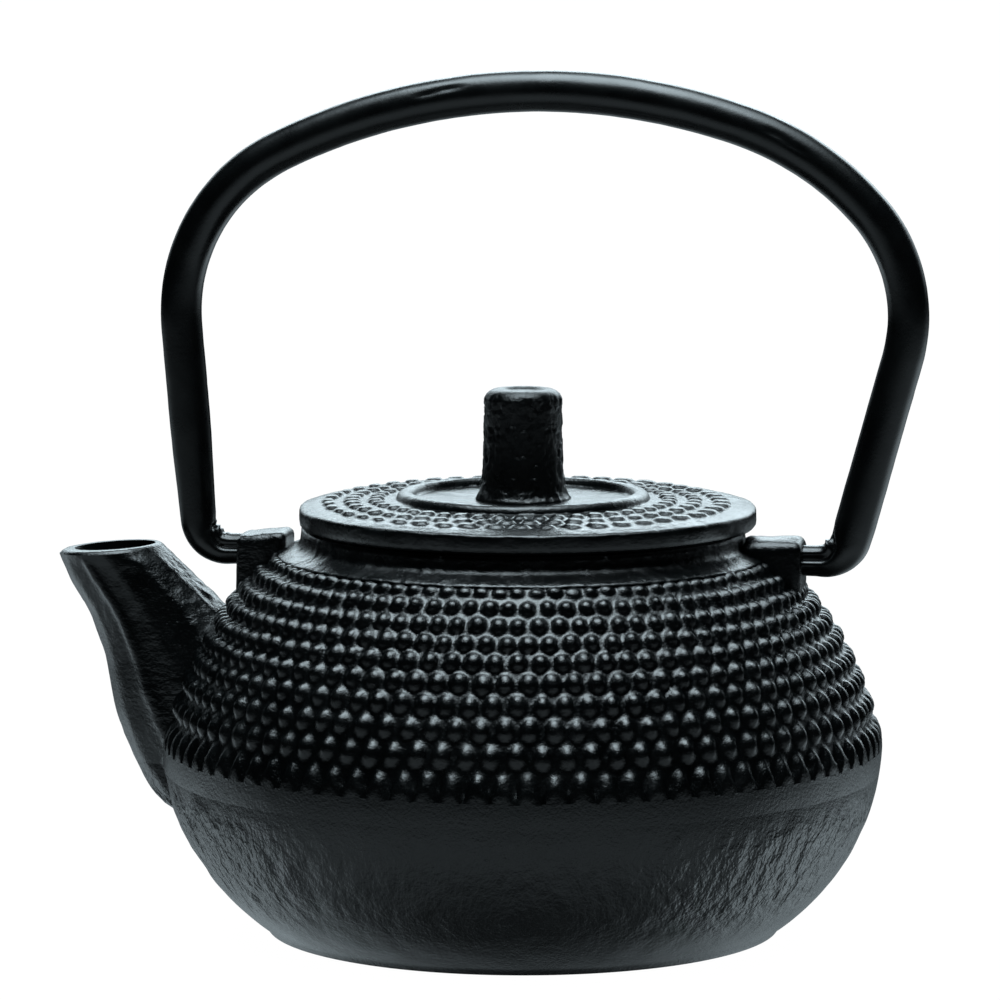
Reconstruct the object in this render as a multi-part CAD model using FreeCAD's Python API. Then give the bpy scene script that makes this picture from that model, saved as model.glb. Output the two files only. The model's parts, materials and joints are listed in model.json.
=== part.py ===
import FreeCAD, Part
import math
import os

# Cast-iron teapot with a hobnail shoulder, a loose lid, a swinging bail handle and a steel infuser.
# Millimetres. +Z is up, the origin is the middle of the flat base, the pot's axis is Z.
# The spout points along -X, the bail's two lugs sit at -X and +X, and the bail swings about X.

# ---- pot body: one iron casting, its outline is two arcs that meet at the lowest hobnails ----
BASE_R = 41.4            # flat that the pot stands on
BASE_EDGE_Z = 0.8        # height of the small chamfer round the base
BELLY_CENTRE = (21.83, 32.68)
BELLY_ARC_R = 38.57
BREAK_Z = 32.6           # height where the smooth belly meets the hobnailed shoulder
SHOULDER_CENTRE = (6.46, 21.51)
SHOULDER_ARC_R = 55.05
SHOULDER_TOP_Z = 61.5
BEAD = (41.6, 64.0)       # (x, z) of the thin bead above the top hobnails
CONE_TOP_R = 38.6        # the cone from the bead up to the collar ends here
COLLAR_FILLET = 0.6      # height of the run from the cone into the collar
COLLAR_R = 37.2
COLLAR_FOOT_Z = 65.2
COLLAR_TOP_Z = 68.5
WALL = 3.2
FLOOR_Z = 4.2            # inside floor
MOUTH_R = 32.2
NECK_RISE = 2.6          # rise of the inside from the shoulder's arc in to the mouth
LEDGE_R = 33.8           # counterbore in the collar that the infuser's rim drops into
LEDGE_Z = 66.4

# ---- lugs and the bail's pivot ----
LUG_OUT_X = 48.0
LUG_IN_X = 36.0
LUG_HALF_Y = 5.5
LUG_FOOT_Z = 50.0
LUG_TOP_Z = 67.0
LUG_ROUND = 1.6
PIVOT_Z = 63.0
PIVOT_BORE_R = 2.68
PIVOT_PIN_R = 2.62
PIN_END_X = 41.5         # inner end of each bail pin
BORE_END_X = 40.6        # bottom of each blind hole

# ---- spout: (tip-side edge, pot-side edge, half width) of each section, edges as (x, z) ----
SPOUT_SECTIONS = (
    ((-79.4, 62.2), (-61.6, 63.6), 8.4),
    ((-77.6, 57.4), (-58.6, 60.3), 8.3),
    ((-74.2, 51.6), (-54.8, 56.8), 8.5),
    ((-71.4, 43.2), (-50.4, 52.8), 9.2),
    ((-68.9, 32.2), (-46.0, 49.0), 10.2),
    ((-62.6, 20.4), (-42.0, 42.0), 11.0),
    ((-53.0, 15.0), (-38.0, 36.0), 11.0),
)
CHANNEL_SECTIONS = (
    ((-77.6, 64.6), (-64.0, 65.6), 6.2),
    ((-75.0, 57.0), (-61.2, 59.4), 6.0),
    ((-71.4, 50.2), (-58.6, 54.0), 5.8),
    ((-67.6, 42.0), (-55.6, 48.0), 5.8),
    ((-63.4, 33.6), (-51.6, 43.0), 6.0),
    ((-56.0, 25.0), (-45.0, 38.0), 6.4),
    ((-47.0, 20.0), (-38.0, 34.0), 6.6),
)

# ---- lid ----
LID_R = 38.1
LID_LOW_Z = 68.7
LID_EDGE_TOP_Z = 71.2
LID_BORDER_R = 35.6
LID_BORDER_Z = 71.9
LID_FIELD_Z = 73.1       # top of the studded field, next to the raised ring
RING_OUT_R = 21.0
RING_IN_R = 17.6
RING_TOP_Z = 74.0
LID_DISC_Z = 72.6        # recessed disc round the knob
LID_UNDER_Z = 69.6
SKIRT_OUT_R = 30.4
SKIRT_IN_R = 28.0
SKIRT_LOW_Z = 62.0
RIVET_HOLE_R = 2.1

# ---- knob, rivet and washer ----
KNOB_FOOT_R = 7.6
KNOB_R = 6.5
KNOB_TOP_R = 6.2
KNOB_FLARE_Z = 75.4
KNOB_TOP_Z = 91.0
KNOB_DISH_R = 4.0
KNOB_DISH = 0.5
RIVET_R = 2.0
RIVET_TOP_Z = 82.0
RIVET_HEAD_R = 3.8
RIVET_HEAD_H = 1.6
WASHER_R = 6.0
WASHER_HOLE_R = 2.15
WASHER_T = 0.8

# ---- bail: rolled steel tube in the XZ plane; arcs are (radius, turn in degrees), left to right ----
BAIL_R = 3.5
BAIL_BORE_R = 2.7
HOOK_R = 5.2
LEG_TOP = (-58.2, 100.6)
LEG_HEADING = 94.6
BAIL_ARCS = ((30.3, 68.4), (102.3, 45.5), (48.3, 29.2), (26.5, 56.9))
STUB_X = 48.8            # where the full tube steps down to its pin
STUB_WALL = 1.2          # metal between the tube's bore and that step

# ---- infuser: pressed rim, perforated wall and base of thin steel sheet ----
INFUSER_RIM_R = 33.5
INFUSER_RIM_T = 0.5
RIM_SKIRT_R = 31.9
RIM_SKIRT_LOW_Z = 61.4
INFUSER_R = 31.35
SHEET = 0.4
INFUSER_LOW_Z = 26.0
BASE_DISH_R = 24.0
BASE_DISH = 1.5
SLOT_W = 1.2
SLOT_H = 5.0
SLOT_ROWS = 4
SLOTS_PER_ROW = 24
SLOT_PITCH_Z = 7.5
SLOT_LOW_Z = 30.5
FIT_GAP = 0.05

Z_AXIS = FreeCAD.Vector(0, 0, 1)
ORIGIN = FreeCAD.Vector(0, 0, 0)


def at(x, z):
    return FreeCAD.Vector(x, 0, z)


def circle_x(centre, radius, z):
    """The outer crossing of a circle in the XZ plane with the height z."""
    return centre[0] + math.sqrt(radius ** 2 - (z - centre[1]) ** 2)


def circle_arc(centre, radius, z_from, z_to):
    """The arc of a circle in the XZ plane between two heights, on its outer side."""
    z_mid = (z_from + z_to) / 2
    ends = [at(circle_x(centre, radius, z), z) for z in (z_from, z_mid, z_to)]
    return Part.Arc(*ends).toShape()


def lines(*points):
    return [Part.makeLine(at(*a), at(*b)) for a, b in zip(points, points[1:])]


def revolve(edges):
    """A solid of revolution about Z from a closed outline in the XZ plane."""
    face = Part.Face(Part.Wire(edges))
    return face.revolve(ORIGIN, Z_AXIS, 360)


def revolve_polygon(*points):
    return revolve(lines(*points, points[0]))


def ring(outer_r, inner_r, low_z, high_z):
    outer = Part.makeCylinder(outer_r, high_z - low_z, at(0, low_z))
    inner = Part.makeCylinder(inner_r, high_z - low_z, at(0, low_z))
    return outer.cut(inner)


def pot_outside():
    """The revolved outside of the pot, from the base to the collar's top."""
    belly_x = circle_x(BELLY_CENTRE, BELLY_ARC_R, BASE_EDGE_Z)
    break_x = circle_x(BELLY_CENTRE, BELLY_ARC_R, BREAK_Z)
    shoulder_foot_x = circle_x(SHOULDER_CENTRE, SHOULDER_ARC_R, BREAK_Z)
    shoulder_x = circle_x(SHOULDER_CENTRE, SHOULDER_ARC_R, SHOULDER_TOP_Z)
    edges = lines((0, COLLAR_TOP_Z), (0, 0), (BASE_R, 0), (belly_x, BASE_EDGE_Z))
    edges.append(circle_arc(BELLY_CENTRE, BELLY_ARC_R, BASE_EDGE_Z, BREAK_Z))
    edges += lines((break_x, BREAK_Z), (shoulder_foot_x, BREAK_Z))
    edges.append(circle_arc(SHOULDER_CENTRE, SHOULDER_ARC_R, BREAK_Z, SHOULDER_TOP_Z))
    edges += lines((shoulder_x, SHOULDER_TOP_Z), BEAD, (CONE_TOP_R, COLLAR_FOOT_Z),
                   (COLLAR_R, COLLAR_FOOT_Z + COLLAR_FILLET), (COLLAR_R, COLLAR_TOP_Z), (0, COLLAR_TOP_Z))
    return revolve(edges)


def pot_cavity():
    """The space inside the pot: the outside's arcs moved in by the wall, then the mouth."""
    belly_r = BELLY_ARC_R - WALL
    shoulder_r = SHOULDER_ARC_R - WALL
    neck_z = SHOULDER_TOP_Z - WALL
    floor_x = circle_x(BELLY_CENTRE, belly_r, FLOOR_Z)
    break_x = circle_x(BELLY_CENTRE, belly_r, BREAK_Z)
    shoulder_foot_x = circle_x(SHOULDER_CENTRE, shoulder_r, BREAK_Z)
    neck_x = circle_x(SHOULDER_CENTRE, shoulder_r, neck_z)
    above = COLLAR_TOP_Z + 1
    edges = lines((0, above), (0, FLOOR_Z), (floor_x, FLOOR_Z))
    edges.append(circle_arc(BELLY_CENTRE, belly_r, FLOOR_Z, BREAK_Z))
    edges += lines((break_x, BREAK_Z), (shoulder_foot_x, BREAK_Z))
    edges.append(circle_arc(SHOULDER_CENTRE, shoulder_r, BREAK_Z, neck_z))
    edges += lines((neck_x, neck_z), (MOUTH_R, neck_z + NECK_RISE), (MOUTH_R, LEDGE_Z),
                   (LEDGE_R, LEDGE_Z), (LEDGE_R, above), (0, above))
    return revolve(edges)


def oval(edge_a, edge_b, half_width):
    """An upright oval wire through two points of the XZ plane, as wide as stated along Y."""
    a = at(*edge_a)
    b = at(*edge_b)
    centre = (a + b) * 0.5
    side = centre + FreeCAD.Vector(0, half_width, 0)
    return Part.Wire(Part.Ellipse(a, side, centre).toShape())


def loft(sections):
    return Part.makeLoft([oval(*section) for section in sections], True, False)


def lug(side):
    """One handle lug: a block on the shoulder with rounded upper edges."""
    block = Part.makeBox(LUG_OUT_X - LUG_IN_X, 2 * LUG_HALF_Y, LUG_TOP_Z - LUG_FOOT_Z,
                         FreeCAD.Vector(LUG_IN_X, -LUG_HALF_Y, LUG_FOOT_Z))
    top_edges = [e for e in block.Edges if e.BoundBox.ZMin > LUG_TOP_Z - 0.1]
    free_edges = [e for e in top_edges if e.BoundBox.XMax > LUG_IN_X + 0.1]
    rounded = block.makeFillet(LUG_ROUND, free_edges)
    if side < 0:
        rounded = rounded.rotated(ORIGIN, Z_AXIS, 180)
    return rounded


def pivot_bore(side):
    """The blind hole in one lug that a bail pin turns in."""
    length = LUG_OUT_X - BORE_END_X + 1
    start = FreeCAD.Vector(side * BORE_END_X, 0, PIVOT_Z)
    return Part.makeCylinder(PIVOT_BORE_R, length, start, FreeCAD.Vector(side, 0, 0))


def make_pot_body():
    """The pot with its two lugs, with the hole that the spout's channel leaves in its wall."""
    body = pot_outside().fuse([lug(-1), lug(1)]).cut(pot_cavity())
    body = body.cut([loft(CHANNEL_SECTIONS), pivot_bore(-1), pivot_bore(1)])
    return body.removeSplitter()


def make_spout():
    """The spout, which is cast in one with the pot and meets it at the pot's outer surface."""
    return loft(SPOUT_SECTIONS).cut([pot_outside(), loft(CHANNEL_SECTIONS)])


def make_lid():
    return revolve_polygon(
        (RIVET_HOLE_R, LID_DISC_Z), (RING_IN_R - 0.8, LID_DISC_Z), (RING_IN_R, RING_TOP_Z),
        (RING_OUT_R - 0.6, RING_TOP_Z), (RING_OUT_R, LID_FIELD_Z), (LID_BORDER_R, LID_BORDER_Z),
        (LID_R - 0.3, LID_EDGE_TOP_Z), (LID_R, LID_EDGE_TOP_Z - 0.4), (LID_R - 0.1, LID_LOW_Z + 0.5),
        (LID_R - 0.7, LID_LOW_Z), (SKIRT_OUT_R, LID_LOW_Z), (SKIRT_OUT_R, SKIRT_LOW_Z + 0.5),
        (SKIRT_OUT_R - 0.5, SKIRT_LOW_Z), (SKIRT_IN_R, SKIRT_LOW_Z), (SKIRT_IN_R, LID_UNDER_Z),
        (RIVET_HOLE_R, LID_UNDER_Z))


def make_lid_knob():
    """The stout cast knob, flared at its foot and dished on top, with a blind hole for the rivet."""
    top = KNOB_TOP_Z
    knob = revolve_polygon(
        (0, LID_DISC_Z), (KNOB_FOOT_R, LID_DISC_Z), (KNOB_FOOT_R - 0.3, LID_DISC_Z + 1.0),
        (KNOB_R, KNOB_FLARE_Z), (KNOB_TOP_R, top - 1.6), (KNOB_TOP_R - 0.4, top - 0.5),
        (KNOB_TOP_R - 1.2, top), (KNOB_DISH_R, top), (KNOB_DISH_R - 0.5, top - KNOB_DISH),
        (0, top - KNOB_DISH))
    hole = Part.makeCylinder(RIVET_R + FIT_GAP, RIVET_TOP_Z - LID_DISC_Z + FIT_GAP, at(0, LID_DISC_Z))
    return knob.cut(hole)


def make_knob_washer():
    return ring(WASHER_R, WASHER_HOLE_R, LID_UNDER_Z - WASHER_T, LID_UNDER_Z)


def make_knob_rivet():
    """The rivet that holds the knob: its shank in the knob, its domed head under the washer."""
    seat = LID_UNDER_Z - WASHER_T
    low = seat - RIVET_HEAD_H
    return revolve_polygon(
        (0, low), (RIVET_HEAD_R - 1.4, low + 0.15), (RIVET_HEAD_R - 0.4, low + 0.8), (RIVET_HEAD_R, seat),
        (RIVET_R, seat), (RIVET_R, RIVET_TOP_Z - 0.3), (RIVET_R - 0.3, RIVET_TOP_Z), (0, RIVET_TOP_Z))


def direction(degrees):
    return at(math.cos(math.radians(degrees)), math.sin(math.radians(degrees)))


def arc_from(point, heading, radius, turn):
    """An arc that turns clockwise in the XZ plane, with its end point and the heading there."""
    centre = point + direction(heading - 90) * radius
    middle = centre + direction(heading + 90 - turn / 2) * radius
    end = centre + direction(heading + 90 - turn) * radius
    return Part.Arc(point, middle, end).toShape(), end, heading - turn


def hook(leg_end, heading, side, stub_x):
    """The leg's run down to the pivot line and its bend into the lug, from the leg to the stub."""
    down = direction(heading)
    along = (PIVOT_Z - leg_end.z) / down.z
    corner = leg_end + down * along
    inward = at(-side, 0)
    half_angle = down.getAngle(inward) / 2
    trim = HOOK_R * math.tan(half_angle)
    bend_start = corner - down * trim
    bend_end = corner + inward * trim
    to_centre = (inward - down).normalize()
    centre = corner + to_centre * (HOOK_R / math.cos(half_angle))
    middle = centre - to_centre * HOOK_R
    stub = at(side * stub_x, PIVOT_Z)
    leg = Part.makeLine(leg_end, bend_start)
    bend = Part.Arc(bend_start, middle, bend_end).toShape()
    return [leg, bend, Part.makeLine(bend_end, stub)]


def bail_path(stub_x):
    """The bail's centre line from the left stub, over the top, to the right stub, as edges."""
    left_top = at(*LEG_TOP)
    edges = hook(left_top, LEG_HEADING + 180, -1, stub_x)
    point = left_top
    heading = LEG_HEADING
    for radius, turn in BAIL_ARCS:
        edge, point, heading = arc_from(point, heading, radius, turn)
        edges.append(edge)
    return edges + hook(point, heading, 1, stub_x)


def tube_run(edge, radius):
    """A round bar along one straight or arc edge."""
    start = edge.valueAt(edge.FirstParameter)
    tangent = edge.tangentAt(edge.FirstParameter)
    disc = Part.Face(Part.Wire(Part.Circle(start, tangent, radius).toShape()))
    if isinstance(edge.Curve, Part.Line):
        return disc.extrude(tangent * edge.Length)
    turn = math.degrees(edge.Length / edge.Curve.Radius)
    return disc.revolve(edge.Curve.Center, edge.Curve.Axis, turn)


def bail_pin(side, radius, stub_x):
    """A pin, or its bore, from the tube's stub to the pin's inner end."""
    start = FreeCAD.Vector(side * PIN_END_X, 0, PIVOT_Z)
    return Part.makeCylinder(radius, stub_x - PIN_END_X, start, FreeCAD.Vector(side, 0, 0))


def bail_bar(tube_radius, pin_radius, stub_x):
    """A solid bar along the whole bail, with its thinner pin at each end."""
    bars = [tube_run(edge, tube_radius) for edge in bail_path(stub_x)]
    pins = [bail_pin(side, pin_radius, stub_x) for side in (-1, 1)]
    return bars[0].fuse(bars[1:] + pins).removeSplitter()


def make_bail_handle():
    """The rolled tube, open through both pins."""
    pin_bore_r = PIVOT_PIN_R - (BAIL_R - BAIL_BORE_R)
    outside = bail_bar(BAIL_R, PIVOT_PIN_R, STUB_X)
    inside = bail_bar(BAIL_BORE_R, pin_bore_r, STUB_X + STUB_WALL)
    return outside.cut(inside)


def make_infuser_rim():
    """The pressed rim: a flat flange on the ledge and a short skirt that hugs the wall."""
    top = LEDGE_Z + INFUSER_RIM_T
    bore = INFUSER_R + FIT_GAP
    flange = ring(INFUSER_RIM_R, bore, LEDGE_Z, top)
    skirt = ring(RIM_SKIRT_R, bore, RIM_SKIRT_LOW_Z, LEDGE_Z)
    return flange.fuse(skirt).removeSplitter()


def infuser_slot(row, index):
    """One upright slot through the infuser's wall; alternate rows are staggered."""
    turn = (index + 0.5 * (row % 2)) * 360 / SLOTS_PER_ROW
    low = SLOT_LOW_Z + row * SLOT_PITCH_Z
    box = Part.makeBox(6, SLOT_W, SLOT_H, FreeCAD.Vector(INFUSER_R - 3, -SLOT_W / 2, low))
    return box.rotated(ORIGIN, Z_AXIS, turn)


def make_infuser_wall():
    wall = ring(INFUSER_R, INFUSER_R - SHEET, INFUSER_LOW_Z, LEDGE_Z + INFUSER_RIM_T)
    slots = [infuser_slot(row, i) for row in range(SLOT_ROWS) for i in range(SLOTS_PER_ROW)]
    return wall.cut(slots)


def make_infuser_base():
    """The base disc, pressed up in the middle so that it sits stiff inside the wall's foot."""
    rim = INFUSER_R - SHEET - FIT_GAP
    low = INFUSER_LOW_Z
    return revolve_polygon(
        (0, low + BASE_DISH), (BASE_DISH_R, low + BASE_DISH), (BASE_DISH_R + 2, low), (rim, low),
        (rim, low + SHEET), (BASE_DISH_R + 2.2, low + SHEET), (BASE_DISH_R + 0.2, low + BASE_DISH + SHEET),
        (0, low + BASE_DISH + SHEET))


PARTS = {
    "pot_body": make_pot_body,
    "spout": make_spout,
    "lid": make_lid,
    "lid_knob": make_lid_knob,
    "knob_washer": make_knob_washer,
    "knob_rivet": make_knob_rivet,
    "bail_handle": make_bail_handle,
    "infuser_rim": make_infuser_rim,
    "infuser_wall": make_infuser_wall,
    "infuser_base": make_infuser_base,
}

os.makedirs("parts", exist_ok=True)
for name, make in PARTS.items():
    shape = make()
    shape.exportStep("parts/" + name + ".step")
    box = shape.BoundBox
    print("%-14s solids %d valid %s volume %9.1f  x %.2f..%.2f  y %.2f..%.2f  z %.2f..%.2f" % (
        name, len(shape.Solids), shape.isValid(), shape.Volume,
        box.XMin, box.XMax, box.YMin, box.YMax, box.ZMin, box.ZMax))
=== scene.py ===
import json
import math
import bpy
import bmesh
import numpy as np
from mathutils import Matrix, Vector


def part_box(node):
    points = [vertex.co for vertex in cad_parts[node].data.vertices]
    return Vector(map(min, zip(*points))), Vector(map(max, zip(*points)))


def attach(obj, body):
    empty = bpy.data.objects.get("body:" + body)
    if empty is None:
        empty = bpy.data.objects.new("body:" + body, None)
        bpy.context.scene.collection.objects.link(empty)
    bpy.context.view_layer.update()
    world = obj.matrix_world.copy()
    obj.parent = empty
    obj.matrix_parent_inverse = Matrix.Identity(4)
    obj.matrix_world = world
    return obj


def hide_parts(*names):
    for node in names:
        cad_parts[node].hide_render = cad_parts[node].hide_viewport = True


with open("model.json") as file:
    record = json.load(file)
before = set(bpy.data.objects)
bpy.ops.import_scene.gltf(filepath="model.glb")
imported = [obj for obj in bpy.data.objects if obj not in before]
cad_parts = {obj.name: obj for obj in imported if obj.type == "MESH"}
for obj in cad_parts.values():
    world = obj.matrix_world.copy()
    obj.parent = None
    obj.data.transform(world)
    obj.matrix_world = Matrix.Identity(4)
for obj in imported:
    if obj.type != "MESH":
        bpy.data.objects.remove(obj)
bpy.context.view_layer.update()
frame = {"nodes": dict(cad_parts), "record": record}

# The pieces are worked out in millimetres, in the frame's own axes, and make_object() scales them to metres.
# The materials, the world and the lights are in metres.
MM = 0.001
SEED = 7


def node_mm(name):
    """The lowest and highest corners of a CAD node, in millimetres."""
    low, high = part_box(name)
    return np.array(low) / MM, np.array(high) / MM


# ---------------------------------------------------------------- sizes taken from the frame
POT_HIGH = node_mm("pot_body")[1]
LID_LOW, LID_HIGH = node_mm("lid")
KNOB_HIGH = node_mm("lid_knob")[1]
HINGE = [j for j in frame["record"]["behaviour"]["joints"] if j["name"] == "bail_swing"][0]
PIVOT_Z = HINGE["pos_m"][2] / MM
NECK_DROP = 0.7          # how far the photograph's neck ends below the CAD's
RIM_EXTRA = 0.2          # how far the photograph's lid reaches past the CAD's
NECK_TOP = POT_HIGH[2] - NECK_DROP
LID_R = LID_HIGH[0] + RIM_EXTRA

# ---------------------------------------------------------------- the pot's outline
# The circles are the CAD's, given as (radius, height) of the centre. The foot is wider than the CAD's.
BASE_R = 43.1
BELLY_START_Z = 0.9      # where the belly's circle takes over from the foot's edge
BELLY_CENTRE = (21.83, 32.68)
BELLY_R = 38.57
SHOULDER_CENTRE = (6.46, 21.51)
SHOULDER_R = 55.05
WALL = 3.2
FLOOR_Z = 4.2
MOUTH_R = 32.2
LEDGE_R = 33.8
LEDGE_Z = 66.4
COLLAR_R = 37.2

# ---------------------------------------------------------------- hobnails
BUMP_COLUMNS = 90
BUMP_H = 1.05
BUMP_DOME = 0.88         # how much of a full dome each hobnail shows
NOTCH_HALF = 1.30        # half width of the gaps under the lowest row, at their top
NOTCH_LENGTH = 3.2       # how far down a gap runs before it closes
NOTCH_SLOPE = 0.75       # width of a gap's sloping side
BUMP_ROWS = (12.8, 18.0, 22.7, 27.0, 31.0, 34.8, 38.4, 42.0, 45.7, 49.1)   # degrees up the shoulder's circle
CELL = 8                 # mesh steps per hobnail, each way
BELLY_COLUMNS = 360


# ================================================================ mesh helpers
def make_object(name, verts, faces, smooth_deg=50):
    mesh = bpy.data.meshes.new(name)
    mesh.from_pydata((np.asarray(verts) * MM).tolist(), [], faces)
    mesh.validate()
    obj = bpy.data.objects.new(name, mesh)
    bpy.context.scene.collection.objects.link(obj)
    fix_normals(obj)
    set_smooth(obj, smooth_deg)
    return obj


def fix_normals(obj):
    bm = bmesh.new()
    bm.from_mesh(obj.data)
    bmesh.ops.recalc_face_normals(bm, faces=bm.faces)
    bm.to_mesh(obj.data)
    bm.free()


def set_smooth(obj, degrees):
    """Smooth shading, with the edges that turn by more than this kept sharp."""
    limit = math.radians(degrees)
    bm = bmesh.new()
    bm.from_mesh(obj.data)
    for face in bm.faces:
        face.smooth = True
    for edge in bm.edges:
        edge.smooth = len(edge.link_faces) == 2 and edge.calc_face_angle() < limit
    bm.to_mesh(obj.data)
    bm.free()


def bridge(a, n_a, b, n_b):
    """Faces between two rings that start at vertex a and b and hold n_a and n_b points."""
    if n_a == n_b:
        return [(a + i, a + (i + 1) % n_a, b + (i + 1) % n_b, b + i) for i in range(n_a)]
    if n_b > n_a:
        return [tuple(reversed(f)) for f in bridge(b, n_b, a, n_a)]
    faces = []
    for i in range(n_b):
        p, q, r = a + 2 * i, a + 2 * i + 1, a + (2 * i + 2) % n_a
        s, t = b + i, b + (i + 1) % n_b
        faces += [(p, q, s), (q, t, s), (q, r, t)]
    return faces


def rings_mesh(name, rings, closed=False, smooth_deg=50):
    """A skin over a list of rings, each an (n, 3) array; neighbours hold the same, half or twice the points.

    A closed skin joins its last ring to its first one, and an open one is capped at both ends.
    """
    verts = np.vstack(rings)
    starts = np.cumsum([0] + [len(r) for r in rings])
    faces = []
    for i in range(len(rings) - 1):
        faces += bridge(starts[i], len(rings[i]), starts[i + 1], len(rings[i + 1]))
    if closed:
        faces += bridge(starts[len(rings) - 1], len(rings[-1]), starts[0], len(rings[0]))
    else:
        for ring_index, flip in ((0, True), (len(rings) - 1, False)):
            centre = len(verts)
            verts = np.vstack([verts, rings[ring_index].mean(axis=0)])
            n, s = len(rings[ring_index]), starts[ring_index]
            for i in range(n):
                tri = (s + i, s + (i + 1) % n, centre)
                faces.append(tuple(reversed(tri)) if flip else tri)
    return make_object(name, verts, faces, smooth_deg)


def angles(n):
    return np.arange(n) * 2 * math.pi / n


def circle_ring(n, r, z):
    t = angles(n)
    return np.column_stack([r * np.cos(t), r * np.sin(t), np.full(n, float(z))])


def boolean(obj, operation, cutters):
    """Joins or cuts closed meshes and removes the tools."""
    for cutter in cutters:
        modifier = obj.modifiers.new("bool", "BOOLEAN")
        modifier.object = cutter
        modifier.operation = operation
        modifier.solver = "MANIFOLD"
        depsgraph = bpy.context.evaluated_depsgraph_get()
        mesh = bpy.data.meshes.new_from_object(obj.evaluated_get(depsgraph))
        obj.modifiers.clear()
        obj.data = mesh
        bpy.data.objects.remove(cutter)
    return obj


# ================================================================ noise
TABLE_SIZE = 65536
HASH = (73856093, 19349663, 83492791)    # large primes, which scatter the lattice over the table


def table_of(seed):
    return np.random.default_rng(seed).uniform(-1, 1, TABLE_SIZE)


def noise3(p, seed):
    """Smooth value noise, about -1 to 1, at each row of p."""
    table = table_of(seed)
    base = np.floor(p).astype(np.int64)
    f = p - base
    f = f * f * f * (f * (f * 6 - 15) + 10)
    total = np.zeros(len(p))
    for dx in (0, 1):
        for dy in (0, 1):
            for dz in (0, 1):
                corner = (base + (dx, dy, dz)) * HASH
                key = corner[:, 0] ^ corner[:, 1] ^ corner[:, 2]
                wx = f[:, 0] if dx else 1 - f[:, 0]
                wy = f[:, 1] if dy else 1 - f[:, 1]
                wz = f[:, 2] if dz else 1 - f[:, 2]
                total += table[key & (TABLE_SIZE - 1)] * wx * wy * wz
    return total


def fbm(p, size, octaves, seed):
    """Layered noise whose largest lumps are about size millimetres."""
    total = np.zeros(len(p))
    gain = 1.0
    for k in range(octaves):
        total += gain * noise3(np.asarray(p) / size * 2 ** k + 17.3 * k, seed + k)
        gain *= 0.5
    return total


def step(x, low, high):
    """0 below low, 1 above high, and a smooth rise between them."""
    t = np.clip((x - low) / (high - low), 0, 1)
    return t * t * (3 - 2 * t)


# ================================================================ pot body
def on_circle(centre, radius, degrees):
    """The (radius, height) of a point at an angle up one of the outline's circles."""
    a = np.radians(degrees)
    return centre[0] + radius * np.cos(a), centre[1] + radius * np.sin(a)


def hobnail_height(theta, phi):
    """Height of the hobnails at angle theta round the pot and phi up the shoulder's circle."""
    rng = np.random.default_rng(SEED)
    height = np.zeros_like(theta)
    pitch = 2 * math.pi / BUMP_COLUMNS
    foot = math.sqrt(1 - BUMP_DOME)
    for k, centre_phi in enumerate(BUMP_ROWS):
        t = k / (len(BUMP_ROWS) - 1)             # 0 at the lowest row, 1 at the highest
        ring_r = on_circle(SHOULDER_CENTRE, SHOULDER_R, centre_phi)[0]
        half_wide = 1.55 - 0.22 * t
        half_tall = 2.25 - 0.75 * t ** 0.5 - 0.35 * step(t, 0.85, 1.0)
        shift = 0.5 * (k % 2)
        column = np.round(theta / pitch - shift).astype(int)
        index = column % BUMP_COLUMNS
        size = 1 + rng.normal(0, 0.045, BUMP_COLUMNS)
        tall = (1 + rng.normal(0, 0.07, BUMP_COLUMNS)) * (1.0 - 0.35 * step(t, 0.93, 1.0))
        off_u = rng.normal(0, 0.09, BUMP_COLUMNS)
        off_v = rng.normal(0, 0.09, BUMP_COLUMNS)
        du = (theta - (column + shift) * pitch) * ring_r - off_u[index]
        dv = np.radians(phi - centre_phi) * SHOULDER_R - off_v[index]
        rho2 = (du / (half_wide * size[index])) ** 2 + (dv / (half_tall * size[index])) ** 2
        cap = np.sqrt(np.clip(1 - BUMP_DOME * rho2, 0, 1))
        bump = BUMP_H * tall[index] * np.clip((cap - foot) / (1 - foot), 0, 1)
        if k == 0:
            below = np.clip(-dv, 0, None)
            notch = NOTCH_HALF * (1 - below / NOTCH_LENGTH)
            from_gap = 0.5 * pitch * ring_r - np.abs(du)
            filled = BUMP_H * (1 - np.clip((notch - from_gap) / NOTCH_SLOPE, 0, 1))
            bump = np.where(dv < 0, np.maximum(bump, filled), bump)
        height = np.maximum(height, bump)
    return height


def belly_relief(theta, phi):
    """The wrinkled skin of the lower belly: streaks that run down towards the base, strongest by the spout."""
    along = np.radians(phi) * BELLY_R
    p = np.column_stack([52 * np.cos(theta), 52 * np.sin(theta), along * 0.42])
    warp = 1.3 * fbm(p, 9.0, 2, 31)
    p = p + np.column_stack([warp, -warp, 0.4 * warp])
    ridges = 1 - np.abs(fbm(p, 3.4, 2, 41)) * 1.7
    fine = fbm(np.column_stack([p[:, 0], p[:, 1], along]), 1.9, 2, 51)
    relief = 0.20 * (ridges - 0.45) + 0.07 * fine
    spout_side = -np.cos(theta)
    around = np.column_stack([np.cos(theta) * 6, np.sin(theta) * 6, theta * 0])
    upper_edge = 24.6 + 2.2 * step(spout_side, 0.55, 0.95) + 1.1 * noise3(around, 61)
    z = BELLY_CENTRE[1] + BELLY_R * np.sin(np.radians(phi))
    by_spout = 0.30 + 0.70 * step(spout_side, 0.25, 0.85)
    return relief * by_spout * (1 - step(z, upper_edge - 1.2, upper_edge + 0.5)) * step(z, 3.0, 12.0)


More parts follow.
